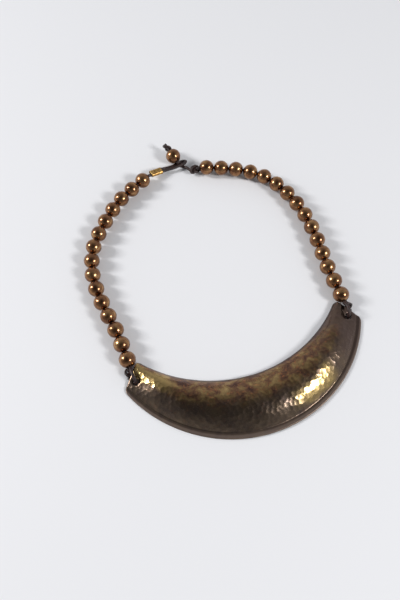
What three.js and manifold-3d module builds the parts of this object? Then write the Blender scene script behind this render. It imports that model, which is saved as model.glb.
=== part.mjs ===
// Bib necklace: a hammered brass crescent plate, two strings of round brass beads on a dark cord,
// and a clasp made of a cord loop, a crimped ferrule and a toggle bead.
// Millimetres, +Z up. The necklace lies flat on the plane z = 0, with the bib towards -Y and the
// clasp towards +Y. The origin is the middle of its footprint.
import * as THREE from 'three';
import { mergeVertices } from 'three/addons/utils/BufferGeometryUtils.js';
import Module from 'manifold-3d';

const wasm = await Module();
wasm.setup();

// ---- driving dimensions ----------------------------------------------------------------------
// The plan of the bib is drawn about its own axis of symmetry; this point of that plan is the origin.
const FOOTPRINT_MIDDLE = { x: -2.25, y: 38.2 };

const bib = {
  innerRadius: 79.3, innerCentreY: 52.9, innerHalfWidth: 59,     // neck-side edge
  outerRadius: 76.9, outerCentreY: 17.5, outerHalfWidth: 70.2,   // outer edge
  sheet: 1.2,             // thickness, measured upright
  flange: 3.2,            // flat rim along the outer edge
  domeMiddle: 7.2,        // rise of the dome above the rim, at the middle
  domeEnd: 3.3,           // the same at the two ends
  taper: 4,               // how late the dome falls away towards the ends
  crestMiddle: 0.44,      // where the dome is highest, as a share of the way from the neck side
  crestEnd: 0.25,         // the same at the two ends
  holeRadius: 1.8,
  holeAlong: 6.6,         // from the outer corner, along the end
  holeInward: 4.0,        // from the end
};

const bead = { radius: 4.7, bore: 1.5, perString: 15 };
const cord = { radius: 0.85 };
const ferrule = { length: 8, width: 4.7, height: 2.8, wall: 0.3 };
const strandOffset = 0.95;     // each of the two strands in the ferrule, from its middle
const stopKnot = { radius: 2.5, length: 5.6, bore: 1.35 };
const endKnot = { radius: 2.1, length: 4.4, bore: 1.35 };
const tieKnot = { radius: 1.9 };

// Where the thread of each string runs, from the bib to the clasp, in the bib's plan.
const leftRun = [
  { x: -64.0, y: 1.7 }, { x: -65.6, y: 19.4 }, { x: -69.0, y: 38.2 }, { x: -70.1, y: 57.0 },
  { x: -65.4, y: 75.4 }, { x: -54.2, y: 91.3 }, { x: -40.6, y: 104.7 }, { x: -24.0, y: 114.3 },
];
const rightRun = [
  { x: 63.5, y: 1.8 }, { x: 63.4, y: 20.0 }, { x: 64.9, y: 39.1 }, { x: 64.8, y: 57.8 },
  { x: 60.6, y: 76.4 }, { x: 51.2, y: 93.3 }, { x: 35.5, y: 104.6 }, { x: 18.0, y: 111.6 },
];

// The clasp: where the ferrule starts, its heading, and the heading of the loop beyond it.
const claspStart = { x: -17.6, y: 117.9, z: 4.2 };
const claspBend = { x: -9.9, y: 119.8, z: 2.6 };
const loopHeading = THREE.MathUtils.degToRad(13.5);

// The loop on the clasp's own axes: u along it, v across it away from the neck, z up.
const loopRun = [
  { u: 0.3, v: -0.95, z: 2.6 }, { u: 4, v: -1.5, z: 2.5 }, { u: 9, v: -2.5, z: 2.6 },
  { u: 12.5, v: -2.95, z: 2.75 }, { u: 15.4, v: -2.8, z: 2.65 }, { u: 17.2, v: -1.6, z: 2.2 },
  { u: 16.3, v: -0.1, z: 1.4 }, { u: 12.5, v: 0.45, z: 0.95 }, { u: 9, v: 0.3, z: 0.95 },
  { u: 4, v: 0.6, z: 1.6 }, { u: 0.3, v: 0.95, z: 2.6 },
];
const toggle = { u: 11.3, v: 4.2, z: 5.2, boreAcross: -0.07, boreRise: 0.24 };

// The right-hand cord on its way from the stop knot through the loop to the toggle bead.
const throughLoopRun = [
  { u: 15.6, v: -6.4, z: 1.6 }, { u: 14.6, v: -4.2, z: 0.95 }, { u: 13.5, v: -2.7, z: 0.9 },
  { u: 12.5, v: -1.55, z: 1.2 }, { u: 11.9, v: -1.0, z: 2.6 }, { u: 11.67, v: -1.04, z: 3.94 },
];
const stopKnotPlace = { x: 10.6, y: 113.6, z: 3.6 };
const stopKnotAxis = { x: -0.95, y: 0.18, z: -0.22 };

// The tie at each end of the bib, for the left side; the right side mirrors it.
const tieRun = [
  { x: -66.2, y: -7.4, z: 1.1 }, { x: -64.9, y: -9.3, z: 0.93 }, { x: -63.8, y: -10.9, z: 0.97 },
  { x: -63.0, y: -11.5, z: 1.8 }, { x: -62.8, y: -11.5, z: 3.2 }, { x: -62.9, y: -10.8, z: 4.8 },
  { x: -63.2, y: -9.1, z: 6.0 }, { x: -63.5, y: -6.8, z: 6.15 }, { x: -63.5, y: -4.9, z: 5.6 },
  { x: -63.5, y: -3.3, z: 4.8 },
];
const tieKnotPlace = { x: -65.6, y: -4.6, z: 2.1 };

// ---- materials -------------------------------------------------------------------------------
const metal = (color, roughness) => new THREE.MeshStandardMaterial({ color, roughness, metalness: 1 });
const bibBrass = () => metal(0x7a6534, 0.35);
const beadBrass = () => metal(0xb07c45, 0.25);
const ferruleBrass = () => metal(0xc29a4a, 0.4);
const darkCord = () => new THREE.MeshStandardMaterial({ color: 0x3a2420, roughness: 0.8, metalness: 0 });

// ---- helpers ---------------------------------------------------------------------------------
const necklace = new THREE.Group();
necklace.position.set(-FOOTPRINT_MIDDLE.x, -FOOTPRINT_MIDDLE.y, 0);

const point = ({ x, y, z }) => new THREE.Vector3(x, y, z);

function addPart(name, geometry, material) {
  const mesh = new THREE.Mesh(geometry, material);
  mesh.name = name;
  necklace.add(mesh);
  return mesh;
}

function toSolid(geometry) {
  const bare = geometry.clone();
  bare.deleteAttribute('normal');
  bare.deleteAttribute('uv');
  const merged = mergeVertices(bare, 1e-4);
  const mesh = new wasm.Mesh({
    numProp: 3,
    vertProperties: new Float32Array(merged.attributes.position.array),
    triVerts: new Uint32Array(merged.index.array),
  });
  return new wasm.Manifold(mesh);
}

function toGeometry(solid) {
  const mesh = solid.getMesh();
  const geometry = new THREE.BufferGeometry();
  geometry.setAttribute('position', new THREE.BufferAttribute(mesh.vertProperties, 3));
  geometry.setIndex(new THREE.BufferAttribute(mesh.triVerts, 1));
  return geometry;
}

// A closed skin over a row of rings that all have the same number of points.
function loft(rings) {
  const size = rings[0].length;
  const positions = rings.flat().flatMap((p) => [p.x, p.y, p.z]);
  const index = [];
  for (let ring = 0; ring < rings.length - 1; ring += 1) {
    for (let i = 0; i < size; i += 1) {
      const next = (i + 1) % size;
      const a = ring * size + i;
      const b = ring * size + next;
      index.push(a, b, a + size, b, b + size, a + size);
    }
  }
  const last = (rings.length - 1) * size;
  for (let i = 0; i < size / 2 - 1; i += 1) {
    const back = size - 1 - i;
    index.push(i, back, i + 1, i + 1, back, back - 1);
    index.push(last + i, last + i + 1, last + back, last + i + 1, last + back - 1, last + back);
  }
  const geometry = new THREE.BufferGeometry();
  geometry.setAttribute('position', new THREE.Float32BufferAttribute(positions, 3));
  geometry.setIndex(index);
  return geometry;
}

// A round tube along a route; every stretch between two points takes the same number of steps,
// so the tight bends, whose points are close together, get the short steps.
function tube(points, radius, stepsPerStretch, sides = 8) {
  const route = new THREE.CatmullRomCurve3(points);
  route.getUtoTmapping = (u) => u;
  const section = new THREE.Shape(
    Array.from({ length: sides }, (_, i) => {
      const angle = (i / sides) * 2 * Math.PI;
      return new THREE.Vector2(radius * Math.cos(angle), radius * Math.sin(angle));
    }),
  );
  return new THREE.ExtrudeGeometry(section, {
    steps: (points.length - 1) * stepsPerStretch,
    extrudePath: route,
  });
}

// A round body with a bore through it, turned about Y: its outline is an ellipse.
function boredBall(radius, halfLength, bore, segments, arcSteps) {
  const start = Math.acos(bore / radius);
  const profile = [];
  for (let i = 0; i <= arcSteps; i += 1) {
    const angle = -start + (2 * start * i) / arcSteps;
    profile.push(new THREE.Vector2(radius * Math.cos(angle), halfLength * Math.sin(angle)));
  }
  profile.push(profile[0].clone());
  return new THREE.LatheGeometry(profile, segments);
}

function alongAxis(mesh, place, direction) {
  mesh.position.copy(place);
  mesh.quaternion.setFromUnitVectors(new THREE.Vector3(0, 1, 0), direction.clone().normalize());
}

// A point given on the clasp's axes, in the bib's plan.
function onClasp({ u, v, z }) {
  const c = Math.cos(loopHeading);
  const s = Math.sin(loopHeading);
  return new THREE.Vector3(claspBend.x + u * c - v * s, claspBend.y + u * s + v * c, z);
}

const mirrored = ({ x, y, z }, side) => new THREE.Vector3(-side * x, y, z);

// ---- the bib ---------------------------------------------------------------------------------
// along runs from -1 to 1 over the length of the plate, across from 0 at the neck to 1 outside.
function bibEdges(along) {
  const innerAngle = along * Math.asin(bib.innerHalfWidth / bib.innerRadius);
  const outerAngle = along * Math.asin(bib.outerHalfWidth / bib.outerRadius);
  const inner = new THREE.Vector2(
    bib.innerRadius * Math.sin(innerAngle),
    bib.innerCentreY - bib.innerRadius * Math.cos(innerAngle),
  );
  const outer = new THREE.Vector2(
    bib.outerRadius * Math.sin(outerAngle),
    bib.outerCentreY - bib.outerRadius * Math.cos(outerAngle),
  );
  return { inner, outer };
}

function domeRise(along, share) {
  const rise = bib.domeMiddle - (bib.domeMiddle - bib.domeEnd) * Math.abs(along) ** bib.taper;
  const crest = bib.crestMiddle - (bib.crestMiddle - bib.crestEnd) * Math.abs(along) ** 3;
  const fall = share < crest
    ? (1 - share / crest) ** 2.2
    : ((share - crest) / (1 - crest)) ** 2;
  return rise * (1 - fall);
}

function bibSection(along) {
  const { inner, outer } = bibEdges(along);
  const domeWidth = inner.distanceTo(outer) - bib.flange;
  const shares = [0, 0.06, 0.15, 0.28, 0.44, 0.58, 0.7, 0.81, 0.91, 1];
  const stations = shares.map((share) => {
    const across = (share * domeWidth) / (domeWidth + bib.flange);
    const spot = inner.clone().lerp(outer, across);
    return new THREE.Vector3(spot.x, spot.y, domeRise(along, share));
  });
  stations.push(new THREE.Vector3(outer.x, outer.y, 0));
  const under = stations.map((p) => p.clone());
  const over = stations.map((p) => p.clone().setZ(p.z + bib.sheet));
  return [...over, ...under.reverse()];
}

function holePlace() {
  const { inner, outer } = bibEdges(-1);
  const end = inner.clone().sub(outer).normalize();
  const inward = new THREE.Vector2(end.y, -end.x);
  return outer.clone().addScaledVector(end, bib.holeAlong).addScaledVector(inward, bib.holeInward);
}

function bibPlate() {
  const sections = 32;
  const rings = [];
  for (let i = 0; i <= sections; i += 1) {
    rings.push(bibSection(-1 + (2 * i) / sections));
  }
  let plate = toSolid(loft(rings));
  const hole = holePlace();
  for (const side of [-1, 1]) {
    const drill = new THREE.CylinderGeometry(bib.holeRadius, bib.holeRadius, 30, 20);
    drill.rotateX(Math.PI / 2);
    drill.translate(-side * hole.x, hole.y, 0);
    plate = plate.subtract(toSolid(drill));
  }
  addPart('bib_plate', toGeometry(plate), bibBrass());
}

// ---- the strings of beads --------------------------------------------------------------------
// The beads of a string stand evenly along its run, the last one at each end of it.
function threadSpots(run) {
  const curve = new THREE.CatmullRomCurve3(run.map(({ x, y }) => new THREE.Vector3(x, y, bead.radius)));
  return Array.from({ length: bead.perString }, (_, i) => {
    const share = i / (bead.perString - 1);
    return { place: curve.getPointAt(share), direction: curve.getTangentAt(share) };
  });
}

// Beads are numbered from the clasp to the bib.
function beadString(name, run) {
  threadSpots(run).forEach(({ place, direction }, i) => {
    const number = String(bead.perString - i).padStart(2, '0');
    const ball = boredBall(bead.radius, bead.radius, bead.bore, 14, 7);
    alongAxis(addPart(`${name}_bead_${number}`, ball, beadBrass()), place, direction);
  });
}

// ---- the clasp -------------------------------------------------------------------------------
function obround(width, height) {
  const outline = new THREE.Shape();
  const half = width / 2 - height / 2;
  outline.absarc(half, 0, height / 2, -Math.PI / 2, Math.PI / 2);
  outline.absarc(-half, 0, height / 2, Math.PI / 2, (3 * Math.PI) / 2);
  outline.closePath();
  return outline;
}

function crimpedFerrule() {
  const outline = obround(ferrule.width, ferrule.height);
  outline.holes.push(obround(ferrule.width - 2 * ferrule.wall, ferrule.height - 2 * ferrule.wall));
  const geometry = new THREE.ExtrudeGeometry(outline, {
    depth: ferrule.length, bevelEnabled: false, curveSegments: 8,
  });
  const mesh = addPart('ferrule', geometry, ferruleBrass());
  mesh.position.copy(point(claspStart));
  const turn = new THREE.Matrix4().lookAt(point(claspBend), point(claspStart), new THREE.Vector3(0, 0, 1));
  mesh.quaternion.setFromRotationMatrix(turn);
}

function toggleBore() {
  const { boreAcross, boreRise } = toggle;
  const direction = onClasp({ u: boreAcross, v: 1, z: boreRise }).sub(onClasp({ u: 0, v: 0, z: 0 }));
  return direction.normalize();
}

function toggleBead() {
  const ball = boredBall(bead.radius, bead.radius, bead.bore, 14, 7);
  alongAxis(addPart('toggle_bead', ball, beadBrass()), onClasp(toggle), toggleBore());
}

const endKnotDistance = bead.radius + 0.15 + endKnot.length / 2;

function knots() {
  const stop = addPart('stop_knot', boredBall(stopKnot.radius, stopKnot.length / 2, stopKnot.bore, 12, 6),
    darkCord());
  alongAxis(stop, point(stopKnotPlace), point(stopKnotAxis));
  const end = addPart('end_knot', boredBall(endKnot.radius, endKnot.length / 2, endKnot.bore, 12, 6),
    darkCord());
  alongAxis(end, onClasp(toggle).addScaledVector(toggleBore(), endKnotDistance), toggleBore());
  for (const [name, side] of [['left', -1], ['right', 1]]) {
    const lump = addPart(`${name}_tie_knot`, new THREE.SphereGeometry(tieKnot.radius, 12, 8), darkCord());
    lump.position.copy(mirrored(tieKnotPlace, side));
  }
}

// ---- the cords -------------------------------------------------------------------------------
// The thread at each bead of a string, and at the clasp end's mouth of the last bore.
function threadPoints(run) {
  const spots = threadSpots(run);
  const last = spots[spots.length - 1];
  const mouth = last.place.clone().addScaledVector(last.direction, bead.radius);
  return [...spots.map(({ place }) => place), mouth];
}

// Inside the ferrule the two strands lie side by side, level with each other.
function strandInFerrule(side, share) {
  const start = point(claspStart);
  const heading = point(claspBend).sub(start);
  const across = new THREE.Vector3(-heading.y, heading.x, 0).normalize();
  return start.addScaledVector(heading, share).addScaledVector(across, side * strandOffset);
}

function leftCord() {
  const points = [
    ...tieRun.map(point),
    ...threadPoints(leftRun),
    strandInFerrule(-1, 0),
    strandInFerrule(-1, 0.5),
    ...loopRun.map(onClasp),
    strandInFerrule(1, 0.5),
    strandInFerrule(1, 0.15),
  ];
  addPart('left_cord', tube(points, cord.radius, 3), darkCord());
}

function rightCord() {
  const knotPlace = point(stopKnotPlace);
  const knotAxis = point(stopKnotAxis).normalize();
  const bore = toggleBore();
  const toggleSpot = (distance) => onClasp(toggle).addScaledVector(bore, distance);
  const points = [
    ...tieRun.map((spot) => mirrored(spot, 1)),
    ...threadPoints(rightRun),
    knotPlace.clone().addScaledVector(knotAxis, -stopKnot.length / 2),
    knotPlace,
    knotPlace.clone().addScaledVector(knotAxis, stopKnot.length / 2),
    ...throughLoopRun.map(onClasp),
    toggleSpot(-4.2),
    toggleSpot(0),
    toggleSpot(endKnotDistance),
    toggleSpot(endKnotDistance + 2.6),
  ];
  addPart('right_cord', tube(points, cord.radius, 3), darkCord());
}

bibPlate();
beadString('left', leftRun);
beadString('right', rightRun);
crimpedFerrule();
toggleBead();
knots();
leftCord();
rightCord();

export default necklace;
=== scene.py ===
"""Bib necklace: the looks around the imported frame. Metres, +Z up, the necklace lies on z = 0."""
import math
import random

import bpy
import numpy as np
from mathutils import Matrix, Vector, kdtree, noise


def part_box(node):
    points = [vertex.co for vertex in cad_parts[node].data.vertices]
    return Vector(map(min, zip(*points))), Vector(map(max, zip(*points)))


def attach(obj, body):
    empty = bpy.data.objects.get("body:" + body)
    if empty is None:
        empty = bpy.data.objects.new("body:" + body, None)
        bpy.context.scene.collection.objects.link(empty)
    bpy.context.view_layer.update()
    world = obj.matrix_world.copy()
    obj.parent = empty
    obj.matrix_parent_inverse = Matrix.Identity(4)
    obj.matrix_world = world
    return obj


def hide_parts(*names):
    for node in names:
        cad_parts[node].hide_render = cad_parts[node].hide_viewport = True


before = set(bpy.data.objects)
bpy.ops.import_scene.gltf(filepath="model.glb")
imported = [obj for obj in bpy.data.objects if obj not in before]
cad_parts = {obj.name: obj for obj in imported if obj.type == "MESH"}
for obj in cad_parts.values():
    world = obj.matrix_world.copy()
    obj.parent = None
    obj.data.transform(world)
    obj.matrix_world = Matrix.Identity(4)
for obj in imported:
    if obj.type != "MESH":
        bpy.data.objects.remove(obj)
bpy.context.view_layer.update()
random.seed(7)

MM = 0.001

# ---- sizes, in millimetres, on the bib's own plan (its axis of symmetry is x = 0) -------------
PLAN_ORIGIN = (-2.25, 38.2)            # this point of the plan is the origin of the necklace

INNER_RADIUS, INNER_CENTRE_Y, INNER_HALF_WIDTH = 79.3, 52.9, 59.0      # the neck-side edge, an arc
OUTER_RADIUS, OUTER_CENTRE_Y, OUTER_HALF_WIDTH = 76.9, 17.5, 70.2      # the outer edge, an arc
HALF_LENGTH = 71.0                     # from the bib's middle to its end
CORNER_RADIUS = 2.2
SHEET, THINNEST_CUT = 1.2, -0.45       # thickness, and how far the finished face may sink into it
SHEET_EDGE = 0.4                       # radius of the rounding along the sheet's edge
FLANGE = 3.2                           # flat rim along the outer edge
DOME_MIDDLE, DOME_END, TAPER = 7.2, 3.3, 4      # rise of the dome, and how late it falls away
CREST_MIDDLE, CREST_END, CREST_TAPER = 0.44, 0.25, 3      # where across the sheet the dome is highest
INNER_STEEPNESS = 2.2                  # how steeply the dome starts from the neck side
HOLE_RADIUS, HOLE_ALONG, HOLE_INWARD, HOLE_EDGE = 1.8, 6.6, 4.0, 1.1
BOWL_RADIUS, BOWL_DEPTH, BOWL_SHARE = 15.0, 1.5, 0.4      # how the sheet sinks towards each hole
SHEET_LENGTHS, SHEET_WIDTHS = 380, 96  # how many faces the sheet has each way
LENGTH_CROWDING, WIDTH_CROWDING = 0.1, 0.25      # how far they gather towards the edges, as a share

MARK_SPACING, MARK_SCATTER = 2.7, 0.9  # hammer marks, in staggered rows
MARK_ROWS, MARK_COLUMNS = range(-30, 6), range(-30, 31)
ROW_SPACING = 0.87                     # from row to row, as a share of MARK_SPACING
MARK_DEPTHS = (0.6, 1.4)               # shallowest and deepest mark, against the usual one
RIM_RELIEF = 0.3                       # how much of the marks' depth the flat rim has
RELIEF_END, RELIEF_FADE = 1.03, 0.08   # where the dome's relief ends at the rim, and over how much
MARK_REACH, MARK_MEAN = 2.2, 0.08      # how far a mark reaches, and its mean height
MARK_CURVE = 13.0                      # radius of the hammer's face
WAVE_HEIGHT, WAVE_SCALE, WAVE_LAYER = 0.35, 0.11, 3.7      # slow unevenness of the sheet

BEAD_RADIUS, BEAD_BORE, BEAD_LIP = 4.7, 1.3, 0.13
BEAD_SIDES, BEAD_STEPS, LIP_STEPS = 56, 32, 4
DENT_SCALE, DENT_DEPTH, BEAD_SHRINK = 0.22, 0.006, 0.002      # unevenness, as shares of the radius
BEADS_PER_STRING = 15
CORD_RADIUS, CORD_SIDES = 0.93, 14
CORD_STEP, KNOT_STEP = 0.35, 0.25      # lengths of the tubes' segments
CORD_END_DOME = 0.35                   # rise of a tube's domed end, in radii
KNOT_ROUNDS, KNOT_PULL, KNOT_PUSH = 1700, 0.45, 0.30      # how a loose knot is drawn tight
KNOT_REACH = 3.4                       # how much of the knotted cord is shown, either way
END_KNOT_GAP, END_KNOT_HALF, CORD_TAIL = 0.15, 2.2, 2.6      # what follows the toggle bead
STOP_KNOT_HALF = 2.8
TOGGLE_ENTRY = 4.2                     # from the toggle bead's middle

FERRULE_LENGTH, FERRULE_WIDTH, FERRULE_HEIGHT, FERRULE_WALL = 8.0, 4.7, 2.8, 0.3
FERRULE_ROWS, FERRULE_SIDES, FERRULE_EDGE = 40, 72, 0.14
CRIMPS, CRIMP_DEPTH, CRIMP_LENGTH, CRIMP_WIDTH = (0.3, 0.7), 0.28, 0.07, 1.6
CREASE_DEPTH, CREASE_WIDTH = 0.34, 0.42
STRAND_OFFSET = 0.95                   # each of the two strands in the ferrule, from its middle
LOOP_HEADING = math.radians(13.5)
CLASP_START = (-17.6, 117.9, 4.2)
CLASP_BEND = (-9.9, 119.8, 2.6)


# ---- camera -----------------------------------------------------------------------------------
CAMERA_PLACE = (-0.0542, -0.1356, 0.2862)
CAMERA_HEADING = math.radians(18.88)  # from +Y towards +X
CAMERA_DIP = math.radians(65.6)
CAMERA_ROLL = math.radians(0.9)
SENSOR, FOCAL_LENGTH = 36.0, 32.3     # the sensor lies along the picture's longer side


def make_camera():
    data = bpy.data.cameras.new("camera")
    data.sensor_width = SENSOR
    data.sensor_fit = "AUTO"
    data.lens = FOCAL_LENGTH
    data.clip_start = 0.01
    camera = bpy.data.objects.new("camera", data)
    bpy.context.scene.collection.objects.link(camera)
    heading = Matrix.Rotation(-CAMERA_HEADING, 4, "Z")
    dip = Matrix.Rotation(math.pi / 2 - CAMERA_DIP, 4, "X")
    roll = Matrix.Rotation(CAMERA_ROLL, 4, "Z")
    camera.matrix_world = Matrix.Translation(CAMERA_PLACE) @ heading @ dip @ roll
    bpy.context.scene.camera = camera


# ---- small helpers ----------------------------------------------------------------------------
def plan(x, y, z):
    """A point of the bib's plan, in millimetres, as a point of the scene, in metres."""
    return np.array([x - PLAN_ORIGIN[0], y - PLAN_ORIGIN[1], z]) * MM


def on_clasp(u, v, z):
    """A point on the clasp's axes: u along the loop, v across it, away from the neck."""
    c, s = math.cos(LOOP_HEADING), math.sin(LOOP_HEADING)
    return plan(CLASP_BEND[0] + u * c - v * s, CLASP_BEND[1] + u * s + v * c, z)


def centre_of(node):
    low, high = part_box(node)
    return np.array((low + high) / 2)


def unit(v):
    return v / np.linalg.norm(v)


def rounded(distance, radius):
    """How far a rounded edge drops, at a distance in from it."""
    if distance >= radius:
        return 0.0
    return radius - math.sqrt(max(0.0, radius ** 2 - (radius - distance) ** 2))


def new_object(name, verts, faces):
    mesh = bpy.data.meshes.new(name)
    mesh.from_pydata([tuple(v) for v in verts], [], faces)
    mesh.validate()
    mesh.polygons.foreach_set("use_smooth", [True] * len(mesh.polygons))
    mesh.update()
    obj = bpy.data.objects.new(name, mesh)
    bpy.context.scene.collection.objects.link(obj)
    return obj


def add_uv(obj, name, uv_at):
    """A uv map on which uv_at gives each vertex's place."""
    layer = obj.data.uv_layers.new(name=name)
    for loop in obj.data.loops:
        layer.data[loop.index].uv = uv_at(loop.vertex_index)


def finish_piece(obj, material, node):
    obj.data.materials.clear()
    obj.data.materials.append(material)
    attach(obj, "root")
    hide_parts(node)


# ---- materials --------------------------------------------------------------------------------
class Nodes:
    """A few short names for wiring a material."""

    def __init__(self, name):
        self.material = bpy.data.materials.new(name)
        self.material.use_nodes = True
        self.tree = self.material.node_tree
        self.shader = self.tree.nodes["Principled BSDF"]
        self.place = self.add("ShaderNodeTexCoord").outputs["Object"]

    def add(self, kind, **settings):
        node = self.tree.nodes.new(kind)
        for key, value in settings.items():
            setattr(node, key, value)
        return node

    def link(self, source, target):
        self.tree.links.new(source, target)

    def noise(self, scale, detail=4.0, roughness=0.55, distortion=0.0):
        node = self.add("ShaderNodeTexNoise")
        node.inputs["Scale"].default_value = scale
        node.inputs["Detail"].default_value = detail
        node.inputs["Roughness"].default_value = roughness
        node.inputs["Distortion"].default_value = distortion
        self.link(self.place, node.inputs["Vector"])
        return node.outputs["Fac"]

    def ramp(self, source, *stops):
        node = self.add("ShaderNodeValToRGB")
        elements = node.color_ramp.elements
        while len(elements) < len(stops):
            elements.new(0.5)
        for element, (position, colour) in zip(elements, stops):
            element.position = position
            grey = isinstance(colour, (int, float))
            element.color = (colour, colour, colour, 1) if grey else (*colour, 1)
        self.link(source, node.inputs["Fac"])
        return node.outputs["Color"]

    def mix(self, factor, a, b):
        node = self.add("ShaderNodeMix", data_type="RGBA")
        for value, socket in ((factor, node.inputs[0]), (a, node.inputs[6]), (b, node.inputs[7])):
            if hasattr(value, "links"):
                self.link(value, socket)
            elif isinstance(value, (int, float)):
                socket.default_value = value
            else:
                socket.default_value = (*value, 1)
        return node.outputs[2]

    def math(self, operation, a, b=0.0):
        node = self.add("ShaderNodeMath", operation=operation)
        for value, socket in ((a, node.inputs[0]), (b, node.inputs[1])):
            if hasattr(value, "links"):
                self.link(value, socket)
            else:
                socket.default_value = value
        return node.outputs[0]

    def bump(self, height, strength, distance, below=None):
        node = self.add("ShaderNodeBump")
        node.inputs["Strength"].default_value = strength
        node.inputs["Distance"].default_value = distance
        self.link(height, node.inputs["Height"])
        if below is not None:
            self.link(below, node.inputs["Normal"])
        return node.outputs["Normal"]

    def finish(self, colour, roughness, normal, metallic):
        self.link(colour, self.shader.inputs["Base Color"])
        self.link(roughness, self.shader.inputs["Roughness"])
        self.link(normal, self.shader.inputs["Normal"])
        self.shader.inputs["Metallic"].default_value = metallic
        return self.material


def patina_and_painted_light(n, along, across, clouds):
    """The sheet's colours: yellow and brown tarnish clouds on the neck side, dark brown on the outer
    side and to the right, the split between the two sides partly a painted reflection of the room's
    bright and dark
    sides, and a painted highlight: brass painted brighter gold where the windows' highlights fall, on
    the right slope and at the left end."""
    wander = n.math("MULTIPLY", n.math("SUBTRACT", n.noise(95, detail=5, roughness=0.65), 0.5), 0.42)
    wandering = n.math("ADD", across, wander)
    tan = n.ramp(n.noise(520, detail=4, roughness=0.7), (0.55, 0.0), (0.66, 0.65))
    inner = n.ramp(clouds, (0.36, (0.085, 0.046, 0.038)), (0.47, (0.19, 0.102, 0.060)),
                   (0.54, (0.25, 0.160, 0.075)), (0.68, (0.42, 0.29, 0.13)))
    inner = n.mix(tan, inner, (0.42, 0.17, 0.075))
    outer = n.ramp(clouds, (0.36, (0.115, 0.085, 0.070)), (0.60, (0.195, 0.142, 0.100)))
    outer = n.mix(n.math("MULTIPLY", tan, 0.35), outer, (0.24, 0.10, 0.06))
    # partly painted reflection: the paler neck side and darker outer side, split along the middle,
    # stand in for the room's bright and dark sides reflected in the dome; the clouds on each side are
    # tarnish
    colour = n.mix(n.ramp(wandering, (0.40, 0.0), (0.50, 0.8), (0.60, 1.0)), inner, outer)
    to_right = n.ramp(n.math("ADD", along, wander), (0.72, 0.0), (0.88, 0.9))
    colour = n.mix(to_right, colour, (0.115, 0.080, 0.068))
    # painted highlight: brass painted brighter gold where the right window's highlight falls on the
    # outer slope
    painted_highlight = n.math("MULTIPLY",
                    n.ramp(along, (0.57, 0.0), (0.62, 0.85), (0.73, 0.85), (0.77, 0.0)),
                    n.ramp(wandering, (0.50, 0.0), (0.60, 1.0), (0.76, 1.0), (0.86, 0.0)))
    # painted highlight: brass painted brighter gold where the left window's highlight falls at the
    # left end
    painted_highlight_end = n.math("MULTIPLY",
                        n.ramp(along, (0.0, 0.85), (0.14, 0.85), (0.20, 0.0)),
                        n.ramp(wandering, (0.08, 0.0), (0.20, 1.0), (0.40, 1.0), (0.50, 0.0)))
    return n.mix(n.math("ADD", painted_highlight, painted_highlight_end), colour, (0.42, 0.30, 0.125))


def edge_colours(n, across, colour):
    """Darker in the valley beside the flat rim, the paler rim itself, painted shade along the neck
    edge, and scuffs.
    """
    valley = n.ramp(across, (0.860, 0.0), (0.890, 0.6), (0.905, 0.6), (0.925, 0.0))
    colour = n.mix(valley, colour, (0.07, 0.05, 0.045))
    rim = n.ramp(across, (0.915, 0.0), (0.94, 0.7), (0.985, 0.7), (1.0, 0.0))
    colour = n.mix(rim, colour, (0.25, 0.19, 0.16))
    # painted shade: a dark band along the neck edge stands in for the shade there
    neck = n.ramp(across, (0.0, 0.95), (0.03, 0.8), (0.075, 0.0))
    colour = n.mix(neck, colour, (0.055, 0.032, 0.028))
    scuff = n.ramp(n.noise(60, detail=8, roughness=0.8), (0.64, 0.0), (0.67, 0.5))
    return n.mix(scuff, colour, (0.33, 0.24, 0.12))


def bib_brass():
    n = Nodes("bib_brass")
    span = n.add("ShaderNodeSeparateXYZ")
    n.link(n.add("ShaderNodeUVMap", uv_map="span").outputs["UV"], span.inputs[0])
    along, across = span.outputs["X"], span.outputs["Y"]
    clouds = n.noise(150, detail=6, roughness=0.7, distortion=0.5)
    fine = n.noise(1900, detail=3, roughness=0.6)
    colour = edge_colours(n, across, patina_and_painted_light(n, along, across, clouds))
    roughness = n.ramp(n.mix(0.4, clouds, fine), (0.32, 0.30), (0.66, 0.16))
    worn = n.ramp(across, (0.0, 0.9), (0.03, 0.0), (0.86, 0.0), (0.90, 0.9))
    roughness = n.mix(worn, roughness, (0.50, 0.50, 0.50))
    dents = n.bump(n.noise(900, detail=3, roughness=0.6), 0.22, 0.00006)
    normal = n.bump(fine, 0.2, 0.00003, below=dents)
    return n.finish(colour, roughness, normal, 1.0)


def bead_brass(seed):
    """Reddish bronze, with clouds that each seed moves to another place."""
    n = Nodes(f"bead_brass_{seed}")
    shift = n.add("ShaderNodeVectorMath", operation="ADD")
    shift.inputs[1].default_value = (0.13 * seed, 0.07 * seed, 0.0)
    n.link(n.place, shift.inputs[0])
    n.place = shift.outputs[0]
    clouds = n.noise(260, detail=4, roughness=0.6)
    fine = n.noise(2400, detail=3, roughness=0.6)
    colour = n.ramp(clouds, (0.30, (0.12, 0.052, 0.032)), (0.50, (0.26, 0.128, 0.062)),
                    (0.72, (0.46, 0.27, 0.125)))
    tarnish = n.ramp(n.noise(700, detail=5, roughness=0.7), (0.60, 0.0), (0.72, 0.7))
    colour = n.mix(tarnish, colour, (0.16, 0.08, 0.05))
    roughness = n.ramp(n.mix(0.5, clouds, fine), (0.3, 0.14), (0.7, 0.30))
    normal = n.bump(fine, 0.12, 0.00003)
    return n.finish(colour, roughness, normal, 1.0)


def ferrule_brass():
    n = Nodes("ferrule_brass")
    clouds = n.noise(500, detail=4, roughness=0.6)
    fine = n.noise(2600, detail=3)
    colour = n.ramp(clouds, (0.30, (0.25, 0.13, 0.05)), (0.52, (0.50, 0.30, 0.10)),
                    (0.75, (0.66, 0.45, 0.17)))
    roughness = n.ramp(n.mix(0.5, clouds, fine), (0.3, 0.22), (0.7, 0.42))
    normal = n.bump(fine, 0.3, 0.00005)
    return n.finish(colour, roughness, normal, 1.0)


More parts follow.
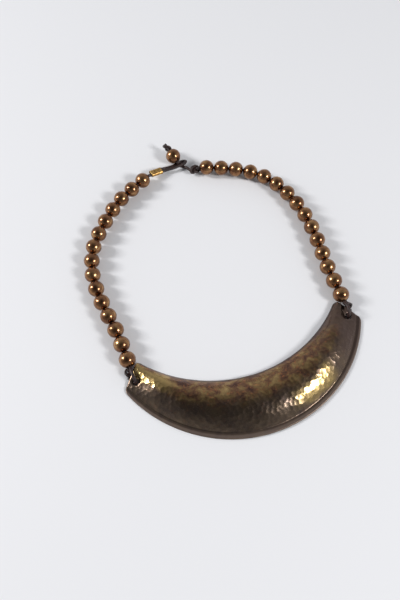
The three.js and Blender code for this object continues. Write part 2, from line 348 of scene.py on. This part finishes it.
def dark_cord():
    n = Nodes("dark_cord")
    uv = n.add("ShaderNodeUVMap", uv_map="along").outputs["UV"]
    twist = n.add("ShaderNodeTexWave", wave_type="BANDS", bands_direction="DIAGONAL")
    twist.inputs["Scale"].default_value = 1.0
    twist.inputs["Distortion"].default_value = 0.6
    twist.inputs["Detail"].default_value = 2.0
    n.link(uv, twist.inputs["Vector"])
    clouds = n.noise(600, detail=4)
    fine = n.noise(5200, detail=3, roughness=0.7)
    colour = n.ramp(clouds, (0.30, (0.012, 0.006, 0.005)), (0.55, (0.028, 0.011, 0.009)),
                    (0.75, (0.070, 0.023, 0.018)))
    roughness = n.ramp(fine, (0.3, 0.38), (0.7, 0.62))
    ply = n.bump(twist.outputs["Fac"], 0.35, 0.00008)
    normal = n.bump(fine, 0.5, 0.00006, below=ply)
    return n.finish(colour, roughness, normal, 0.0)


# ---- the bib ----------------------------------------------------------------------------------
def on_arc(along, radius, centre_y, half_width):
    """A point of an arc of the plan, at a share of the way from its middle to its end."""
    angle = along * math.asin(half_width / radius)
    return np.array([radius * math.sin(angle), centre_y - radius * math.cos(angle)])


def bib_edges(along):
    """The points of the inner and outer edge: along is -1 at the left end and 1 at the right."""
    inner = on_arc(along, INNER_RADIUS, INNER_CENTRE_Y, INNER_HALF_WIDTH)
    outer = on_arc(along, OUTER_RADIUS, OUTER_CENTRE_Y, OUTER_HALF_WIDTH)
    return inner, outer


def dome_rise(along, share):
    """Height of the dome: share runs from 0 at the neck side to 1 where the flat rim starts."""
    if share >= 1:
        return 0.0
    rise = DOME_MIDDLE - (DOME_MIDDLE - DOME_END) * abs(along) ** TAPER
    crest = CREST_MIDDLE - (CREST_MIDDLE - CREST_END) * abs(along) ** CREST_TAPER
    if share < crest:
        return rise * (1 - (1 - share / crest) ** INNER_STEEPNESS)
    return rise * (1 - ((share - crest) / (1 - crest)) ** 2)


def bib_spot(along, across):
    """A point of the bib's plan, with the four corners rounded. Across is 1 at the outer edge."""
    inner, outer = bib_edges(along)
    from_edge = min(across, 1 - across) * np.linalg.norm(outer - inner)
    pull = rounded(from_edge, CORNER_RADIUS)
    inner, outer = bib_edges(along * (1 - pull / HALF_LENGTH))
    return inner + (outer - inner) * across


def hammer_marks():
    """A KD-tree of the middles of the hammer marks over the bib's plan, and the depth of each."""
    spots = []
    for row in MARK_ROWS:
        for column in MARK_COLUMNS:
            stagger = 0.5 * (row % 2)
            x = (column + stagger) * MARK_SPACING + random.uniform(-MARK_SCATTER, MARK_SCATTER)
            y = row * MARK_SPACING * ROW_SPACING + random.uniform(-MARK_SCATTER, MARK_SCATTER)
            spots.append((x, y, 0.0))
    tree = kdtree.KDTree(len(spots))
    for i, spot in enumerate(spots):
        tree.insert(spot, i)
    tree.balance()
    deep = [random.uniform(*MARK_DEPTHS) for _ in spots]
    return tree, deep


def relief(x, y, share, tree, deep):
    """Height of the hammered face over the smooth sheet, in millimetres. The rim has less of it."""
    _, index, distance = tree.find((x, y, 0.0))
    mark = min(distance, MARK_REACH) ** 2 / (2 * MARK_CURVE) * deep[index]
    wave = noise.noise((x * WAVE_SCALE, y * WAVE_SCALE, WAVE_LAYER)) * WAVE_HEIGHT
    on_dome = min(1.0, max(0.0, (RELIEF_END - share) / RELIEF_FADE))
    return (mark - MARK_MEAN) * (RIM_RELIEF + (1 - RIM_RELIEF) * on_dome) + wave * on_dome


def hole_places():
    inner, outer = bib_edges(-1)
    end = unit(inner - outer)
    inward = np.array([end[1], -end[0]])
    left = outer + end * HOLE_ALONG + inward * HOLE_INWARD
    return left, np.array([-left[0], left[1]])


def to_nearest(x, y, holes):
    return min(math.hypot(x - hole[0], y - hole[1]) for hole in holes)


def sheet_height(along, share, x, y, holes):
    """Height of the sheet's underside: the dome, sunk in a shallow bowl round each hole."""
    bowl = max(0.0, 1 - (to_nearest(x, y, holes) / BOWL_RADIUS) ** 2) ** 2
    rise = dome_rise(along, share)
    return rise - min(BOWL_DEPTH, BOWL_SHARE * rise) * bowl


def sheet_grid():
    """The grid's lines along the bib and across it, a little closer together towards its edges."""
    even = np.linspace(-1, 1, SHEET_LENGTHS + 1)
    crowded = -np.cos(np.linspace(0, math.pi, SHEET_LENGTHS + 1))
    alongs = (1 - LENGTH_CROWDING) * even + LENGTH_CROWDING * crowded
    acrosses = []
    for j in range(SHEET_WIDTHS + 1):
        crowded = 0.5 - 0.5 * math.cos(math.pi * j / SHEET_WIDTHS)
        acrosses.append((1 - WIDTH_CROWDING) * (j / SHEET_WIDTHS) + WIDTH_CROWDING * crowded)
    return alongs, acrosses


def sheet_faces():
    """The faces of a closed sheet: its top, its underside and the strip round its edge."""
    row = SHEET_WIDTHS + 1
    under = row * (SHEET_LENGTHS + 1)
    last = row * SHEET_LENGTHS
    faces = []
    for i in range(SHEET_LENGTHS):
        for j in range(SHEET_WIDTHS):
            a = i * row + j
            faces.append((a, a + 1, a + 1 + row, a + row))
            faces.append((under + a, under + a + row, under + a + 1 + row, under + a + 1))
    for i in range(SHEET_LENGTHS):
        a, b = i * row, (i + 1) * row
        faces.append((a, b, under + b, under + a))
        a, b = a + SHEET_WIDTHS, b + SHEET_WIDTHS
        faces.append((b, a, under + a, under + b))
    for j in range(SHEET_WIDTHS):
        faces.append((j + 1, j, under + j, under + j + 1))
        faces.append((last + j, last + j + 1, under + last + j + 1, under + last + j))
    return faces


def bib_plate():
    tree, deep = hammer_marks()
    holes = hole_places()
    alongs, acrosses = sheet_grid()
    top, underside = [], []
    for along in alongs:
        inner, outer = bib_edges(along)
        width = np.linalg.norm(outer - inner)
        to_end = (1 - abs(along)) * HALF_LENGTH
        for across in acrosses:
            x, y = bib_spot(along, across)
            share = across * width / (width - FLANGE)
            drop = rounded(min(across, 1 - across) * width, SHEET_EDGE) + rounded(to_end, SHEET_EDGE)
            from_hole = to_nearest(x, y, holes) - HOLE_RADIUS
            drop += 0.5 * rounded(max(0.0, from_hole), HOLE_EDGE)
            lift = relief(x, y, share, tree, deep)
            height = sheet_height(along, share, x, y, holes)
            top.append(plan(x, y, height + SHEET + max(THINNEST_CUT, lift - drop)))
            underside.append(plan(x, y, height))
    obj = new_object("hammered_bib", top + underside, sheet_faces())

    def uv_at(vertex):
        i, j = divmod(vertex % len(top), len(acrosses))
        return i / SHEET_LENGTHS, j / SHEET_WIDTHS

    add_uv(obj, "span", uv_at)
    drill_holes(obj, holes)
    finish_piece(obj, bib_brass(), "bib_plate")


def drill_holes(obj, holes):
    for x, y in holes:
        bpy.ops.mesh.primitive_cylinder_add(vertices=48, radius=HOLE_RADIUS * MM, depth=0.03,
                                            location=plan(x, y, 0))
        drill = bpy.context.object
        cut = obj.modifiers.new("hole", "BOOLEAN")
        cut.operation = "DIFFERENCE"
        cut.solver = "EXACT"
        cut.object = drill
        bpy.context.view_layer.objects.active = obj
        bpy.ops.object.modifier_apply(modifier=cut.name)
        bpy.data.objects.remove(drill)


# ---- beads ------------------------------------------------------------------------------------
def bead_profile():
    """Radius and height of the bead's outline about its bore, with a rolled lip at each mouth."""
    start = math.acos(BEAD_BORE / BEAD_RADIUS)
    outline, lip = [], []
    for i in range(BEAD_STEPS + 1):
        angle = -start + 2 * start * i / BEAD_STEPS
        outline.append((BEAD_RADIUS * math.cos(angle), BEAD_RADIUS * math.sin(angle)))
    mouth = outline[-1][1]
    for i in range(1, LIP_STEPS):
        angle = i * math.pi / LIP_STEPS
        lip.append((BEAD_BORE - BEAD_LIP * math.sin(angle), mouth - BEAD_LIP * (1 - math.cos(angle))))
    return outline + lip + [(r, -h) for r, h in reversed(lip)]


def bead(name, place, direction, material, node):
    """A ball with a bore along a direction, slightly uneven, each one in its own way."""
    profile = bead_profile()
    turn = Vector((0, 0, 1)).rotation_difference(Vector(direction)).to_matrix().to_4x4()
    spin = Matrix.Rotation(random.uniform(0, 2 * math.pi), 4, "Z")
    seed = random.uniform(0, 100)
    count = len(profile)
    verts, faces = [], []
    for i in range(BEAD_SIDES):
        angle = 2 * math.pi * i / BEAD_SIDES
        for r, h in profile:
            x, y = r * math.cos(angle), r * math.sin(angle)
            dent = abs(noise.noise((x * DENT_SCALE + seed, y * DENT_SCALE, h * DENT_SCALE)))
            size = (1 - DENT_DEPTH * dent - BEAD_SHRINK) * MM
            verts.append((x * size, y * size, h * size))
    for i in range(BEAD_SIDES):
        here, beside = i * count, ((i + 1) % BEAD_SIDES) * count
        for j in range(count):
            above = (j + 1) % count
            faces.append((here + j, beside + j, beside + above, here + above))
    obj = new_object(name, verts, faces)
    obj.data.transform(Matrix.Translation(Vector(place)) @ turn @ spin)
    finish_piece(obj, material, node)


def bead_spots(side):
    """Name, middle and direction of each bead of a string, from the bib to the clasp."""
    names = [f"{side}_bead_{i:02d}" for i in range(BEADS_PER_STRING, 0, -1)]
    places = [centre_of(n) for n in names]
    spots = []
    for i, (name, place) in enumerate(zip(names, places)):
        before, after = places[max(0, i - 1)], places[min(len(places) - 1, i + 1)]
        spots.append((name, place, unit(after - before)))
    return spots


def toggle_axis():
    return unit(on_clasp(-0.07, 1, 0.24) - on_clasp(0, 0, 0))


def beads(materials):
    for side in ("left", "right"):
        for name, place, direction in bead_spots(side):
            bead(f"brass_{name}", place, direction, random.choice(materials), name)
    bead("brass_toggle_bead", centre_of("toggle_bead"), toggle_axis(), materials[0], "toggle_bead")


# ---- cords ------------------------------------------------------------------------------------
# Where the cords run: the loop and what goes through it on the clasp's axes (see on_clasp), and the
# left tie in the bib's plan. The right tie mirrors it.
LOOP_RUN = [
    (0.3, -0.95, 2.6), (4, -1.5, 2.5), (9, -2.5, 2.6), (12.5, -2.95, 2.75), (15.4, -2.8, 2.65),
    (17.2, -1.6, 2.2), (16.3, -0.1, 1.4), (12.5, 0.45, 0.95), (9, 0.3, 0.95), (4, 0.6, 1.6),
    (0.3, 0.95, 2.6),
]
THROUGH_LOOP_RUN = [
    (15.6, -6.4, 1.6), (14.6, -4.2, 0.95), (13.5, -2.7, 0.9), (12.5, -1.55, 1.2),
    (11.9, -1.0, 2.6), (11.67, -1.04, 3.94),
]
TIE_RUN = [
    (-66.2, -7.4, 1.1), (-64.9, -9.3, 0.93), (-63.8, -10.9, 0.97), (-63.0, -11.5, 1.8),
    (-62.8, -11.5, 3.2), (-62.9, -10.8, 4.8), (-63.2, -9.1, 6.0), (-63.5, -6.8, 6.15),
    (-63.5, -4.9, 5.6), (-63.5, -3.3, 4.8),
]
STOP_KNOT_AXIS = (-0.95, 0.18, -0.22)


def smooth_path(points, step):
    """A centripetal Catmull-Rom curve through the points, in equal steps."""
    points = [np.array(p, float) for p in points]
    points = [2 * points[0] - points[1], *points, 2 * points[-1] - points[-2]]
    fine = []
    for p0, p1, p2, p3 in zip(points, points[1:], points[2:], points[3:]):
        t0 = 0.0
        t1 = t0 + np.linalg.norm(p1 - p0) ** 0.5
        t2 = t1 + np.linalg.norm(p2 - p1) ** 0.5
        t3 = t2 + np.linalg.norm(p3 - p2) ** 0.5
        for t in np.linspace(t1, t2, 24, endpoint=False):
            a1 = (t1 - t) / (t1 - t0) * p0 + (t - t0) / (t1 - t0) * p1
            a2 = (t2 - t) / (t2 - t1) * p1 + (t - t1) / (t2 - t1) * p2
            a3 = (t3 - t) / (t3 - t2) * p2 + (t - t2) / (t3 - t2) * p3
            b1 = (t2 - t) / (t2 - t0) * a1 + (t - t0) / (t2 - t0) * a2
            b2 = (t3 - t) / (t3 - t1) * a2 + (t - t1) / (t3 - t1) * a3
            fine.append((t2 - t) / (t2 - t1) * b1 + (t - t1) / (t2 - t1) * b2)
    fine.append(points[-2])
    return resampled(np.array(fine), step)


def resampled(path, step):
    lengths = np.concatenate([[0], np.cumsum(np.linalg.norm(np.diff(path, axis=0), axis=1))])
    count = max(4, int(round(lengths[-1] / step)) + 1)
    wanted = np.linspace(0, lengths[-1], count)
    return np.stack([np.interp(wanted, lengths, path[:, k]) for k in range(3)], axis=1)


def tube_mesh(name, path, radius):
    """A round tube with domed ends along a path, with a uv map that runs along it."""
    tangent = np.gradient(path, axis=0)
    tangent /= np.linalg.norm(tangent, axis=1)[:, None]
    side = unit(np.cross(tangent[0], (0.0, 0.1, 1.0)))
    run = 0.0
    verts, faces, uvs = [], [], []
    for i, middle in enumerate(path):
        side = unit(side - tangent[i] * np.dot(side, tangent[i]))
        other = np.cross(tangent[i], side)
        run += np.linalg.norm(middle - path[i - 1]) if i else 0.0
        for k in range(CORD_SIDES):
            angle = 2 * math.pi * k / CORD_SIDES
            verts.append(middle + radius * (math.cos(angle) * side + math.sin(angle) * other))
            uvs.append((run / MM, k / CORD_SIDES))
    last = len(path) - 1
    for i in range(last):
        for k in range(CORD_SIDES):
            a, b = i * CORD_SIDES + k, i * CORD_SIDES + (k + 1) % CORD_SIDES
            faces.append((a, b, b + CORD_SIDES, a + CORD_SIDES))
    for i, sign in ((0, -1), (last, 1)):
        start, tip = i * CORD_SIDES, len(verts)
        verts.append(path[i] + sign * tangent[i] * radius * CORD_END_DOME)
        uvs.append(uvs[start])
        for k in range(CORD_SIDES):
            a, b = start + k, start + (k + 1) % CORD_SIDES
            faces.append((a, b, tip) if sign > 0 else (b, a, tip))
    on_table = [(x, y, max(0.0, z)) for x, y, z in verts]     # a cord flattens a little where it lies
    obj = new_object(name, on_table, faces)
    add_uv(obj, "along", lambda vertex: uvs[vertex])
    return obj


def strand_in_ferrule(side, share):
    """A point of one of the two strands, at a share of the way through the ferrule."""
    start, end = plan(*CLASP_START), plan(*CLASP_BEND)
    heading = end - start
    across = unit(np.array([-heading[1], heading[0], 0.0]))
    return start + heading * share + across * side * STRAND_OFFSET * MM


def thread_points(side):
    spots = bead_spots(side)
    _, place, direction = spots[-1]
    return [spot[1] for spot in spots] + [place + direction * BEAD_RADIUS * MM]


def tie_points(side):
    """The tie at the bib's end: side is 1 for the left end and -1 for the right."""
    return [plan(side * x, y, z) for x, y, z in TIE_RUN]


def left_cord_points():
    loop = [on_clasp(*p) for p in LOOP_RUN]
    return [*tie_points(1), *thread_points("left"),
            strand_in_ferrule(-1, 0), strand_in_ferrule(-1, 0.5), *loop,
            strand_in_ferrule(1, 0.5), strand_in_ferrule(1, 0.15)]


def right_cord_points():
    knot, axis = centre_of("stop_knot"), unit(np.array(STOP_KNOT_AXIS))
    toggle, bore = centre_of("toggle_bead"), toggle_axis()
    knot_half = axis * STOP_KNOT_HALF * MM
    past_knot = (BEAD_RADIUS + END_KNOT_GAP + END_KNOT_HALF) * MM
    return [*tie_points(-1), *thread_points("right"), knot - knot_half, knot, knot + knot_half,
            *[on_clasp(*p) for p in THROUGH_LOOP_RUN], toggle - bore * TOGGLE_ENTRY * MM, toggle,
            toggle + bore * past_knot, toggle + bore * (past_knot + CORD_TAIL * MM)]


def cords(material):
    for side, points in (("left", left_cord_points()), ("right", right_cord_points())):
        path = smooth_path(points, CORD_STEP * MM)
        tube = tube_mesh(f"tied_{side}_cord", path, CORD_RADIUS * MM)
        finish_piece(tube, material, f"{side}_cord")


# ---- knots ------------------------------------------------------------------------------------
def overhand_knot(radius):
    """The middle line of a tight overhand knot about the origin, its ends along X: a loose one is
    drawn tight by shortening it while its strands keep a cord's thickness apart."""
    t = np.linspace(-2.15, 2.15, 120)
    loose = np.stack([1.3 * (t ** 3 - 3 * t), 1.1 * (t ** 4 - 4 * t ** 2),
                      0.75 * (t ** 5 - 10 * t)], axis=1)
    end = np.array([9 * radius, 0, 0])
    step = 0.42 * radius
    thickness = 2.04 * radius
    same_strand = 3.3 * radius
    path = resampled(np.vstack([-end, loose * radius, end]), step)
    for _ in range(KNOT_ROUNDS):
        path[1:-1] += KNOT_PULL * ((path[:-2] + path[2:]) / 2 - path[1:-1])
        gaps = path[:, None] - path[None]
        far = np.linalg.norm(gaps, axis=2)
        index = np.arange(len(path))
        apart = np.abs(index[:, None] - index[None]) * step > same_strand
        close = apart & (far < thickness)
        push = np.where(close, (thickness - far) * KNOT_PUSH / np.maximum(far, 1e-9), 0)
        path += (push[:, :, None] * gaps).sum(axis=1)
        path[0], path[-1] = -end, end
        path = resampled(path, step)
    return path


def placed(path, place, axis, spin):
    """A path along X, spun about X, turned to an axis and moved to a place."""
    turn = Vector((1, 0, 0)).rotation_difference(Vector(axis))
    turn = turn @ Matrix.Rotation(spin, 3, "X").to_quaternion()
    return np.array([Vector(place) + turn @ Vector(p) for p in path])


def knots(material):
    tight = overhand_knot(CORD_RADIUS * MM)
    core = tight[np.abs(tight[:, 0]) < KNOT_REACH * MM]
    turned = {      # node: axis, spin about it, size against the cord's own
        "stop_knot": (STOP_KNOT_AXIS, 0.6, 1.0),
        "end_knot": (toggle_axis(), 2.0, 0.82),
        "left_tie_knot": ((0.35, 0.9, 0.25), 0.3, 0.78),
        "right_tie_knot": ((-0.35, 0.9, 0.25), 2.4, 0.78),
    }
    for node, (axis, spin, size) in turned.items():
        radius = CORD_RADIUS * size * MM
        path = placed(core * size, centre_of(node), axis, spin)
        path[:, 2] += max(0.0, radius - path[:, 2].min())      # no knot reaches below the table
        tube = tube_mesh(f"wound_{node}", resampled(path, KNOT_STEP * MM), radius)
        finish_piece(tube, material, node)


# ---- ferrule ----------------------------------------------------------------------------------
def ferrule_ring(share, inset):
    """The ferrule's section, at a share of its length: points across it and up, in millimetres."""
    crimp = sum(CRIMP_DEPTH * math.exp(-((share - s) / CRIMP_LENGTH) ** 2) for s in CRIMPS)
    half_flat = FERRULE_WIDTH / 2 - FERRULE_HEIGHT / 2
    radius = FERRULE_HEIGHT / 2 - inset
    ring = []
    for k in range(FERRULE_SIDES):
        angle = 2 * math.pi * k / FERRULE_SIDES
        c, s = math.cos(angle), math.sin(angle)
        x = half_flat * max(-1.0, min(1.0, 3 * c)) + radius * c
        groove = CREASE_DEPTH * math.exp(-(x / CREASE_WIDTH) ** 2)
        groove += crimp * math.exp(-(x / CRIMP_WIDTH) ** 2)
        z = radius * s - (groove * math.copysign(1, s) if abs(s) > 0.3 else 0.0)
        ring.append((x, z))
    return ring


def ferrule(material):
    start, end = Vector(plan(*CLASP_START)), Vector(plan(*CLASP_BEND))
    along = (end - start).normalized()
    across = Vector((0, 0, 1)).cross(along).normalized()
    up = along.cross(across)
    shares = [i / FERRULE_ROWS for i in range(FERRULE_ROWS + 1)]
    edges = [rounded(min(share, 1 - share) * FERRULE_LENGTH, FERRULE_EDGE) for share in shares]
    outside = list(zip(shares, edges))
    inside = [(share, FERRULE_WALL) for share in reversed(shares)]
    verts, faces = [], []
    for share, inset in outside + inside:
        middle = start + along * (share * FERRULE_LENGTH * MM)
        for x, z in ferrule_ring(share, inset):
            verts.append(middle + across * (x * MM) + up * (z * MM))
    rings = len(outside + inside)
    for i in range(rings):
        here, beyond = i * FERRULE_SIDES, ((i + 1) % rings) * FERRULE_SIDES
        for k in range(FERRULE_SIDES):
            beside = (k + 1) % FERRULE_SIDES
            faces.append((here + k, here + beside, beyond + beside, beyond + k))
    obj = new_object("crimped_ferrule", verts, faces)
    finish_piece(obj, material, "ferrule")


# ---- surroundings -----------------------------------------------------------------------------
TABLE_HALF = 3.0
TABLE_DROP = 0.00005      # the table lies just under z = 0, where the necklace's underside is
WINDOW_DISTANCE = 1.6
ROOM_DARKEST = (-0.134, -0.391, 0.911)      # towards the camera's side, where the room reflects dark
ROOM = ((0.0, 0.68), (0.5, 0.46), (0.80, 0.24), (0.97, 0.10))      # closeness to it, brightness


def table():
    h = TABLE_HALF
    obj = new_object("table", [(-h, -h, 0), (h, -h, 0), (h, h, 0), (-h, h, 0)], [(0, 1, 2, 3)])
    n = Nodes("table_white")
    n.shader.inputs["Base Color"].default_value = (0.80, 0.80, 0.82, 1)
    n.shader.inputs["Roughness"].default_value = 0.6
    obj.data.materials.append(n.material)
    obj.location.z = -TABLE_DROP


def window(name, heading, height, width, tall, power):
    """A soft light that faces the necklace. Its heading, in degrees, runs from the camera's right
    towards its far side, and its height is in degrees above the table."""
    data = bpy.data.lights.new(name, "AREA")
    data.shape = "RECTANGLE"
    data.size, data.size_y = width, tall
    data.energy = power
    lamp = bpy.data.objects.new(name, data)
    bpy.context.scene.collection.objects.link(lamp)
    angle = math.radians(heading) - CAMERA_HEADING
    rise = math.radians(height)
    flat = math.cos(rise)
    way = Vector((math.cos(angle) * flat, math.sin(angle) * flat, math.sin(rise)))
    lamp.location = way * WINDOW_DISTANCE
    lamp.rotation_euler = way.to_track_quat("Z", "Y").to_euler()


def room():
    world = bpy.data.worlds.new("room")
    bpy.context.scene.world = world
    world.use_nodes = True
    tree = world.node_tree
    towards = tree.nodes.new("ShaderNodeVectorMath")
    towards.operation = "DOT_PRODUCT"
    towards.inputs[1].default_value = ROOM_DARKEST
    sky = tree.nodes.new("ShaderNodeTexCoord")
    tree.links.new(sky.outputs["Generated"], towards.inputs[0])
    ramp = tree.nodes.new("ShaderNodeValToRGB")
    elements = ramp.color_ramp.elements
    while len(elements) < len(ROOM):
        elements.new(0.5)
    for element, (position, grey) in zip(elements, ROOM):
        element.position = position
        element.color = (grey * 0.95, grey * 0.97, grey, 1)
    tree.links.new(towards.outputs["Value"], ramp.inputs["Fac"])
    tree.links.new(ramp.outputs["Color"], tree.nodes["Background"].inputs["Color"])


def main():
    make_camera()
    cord_material = dark_cord()
    cords(cord_material)
    bib_plate()
    beads([bead_brass(seed) for seed in range(5)])
    knots(cord_material)
    ferrule(ferrule_brass())
    table()
    window("window_left", heading=173, height=33, width=0.24, tall=0.46, power=17)
    window("window_right", heading=-27, height=37, width=0.38, tall=0.30, power=14)
    room()
    bpy.context.scene.view_settings.view_transform = "Standard"


main()
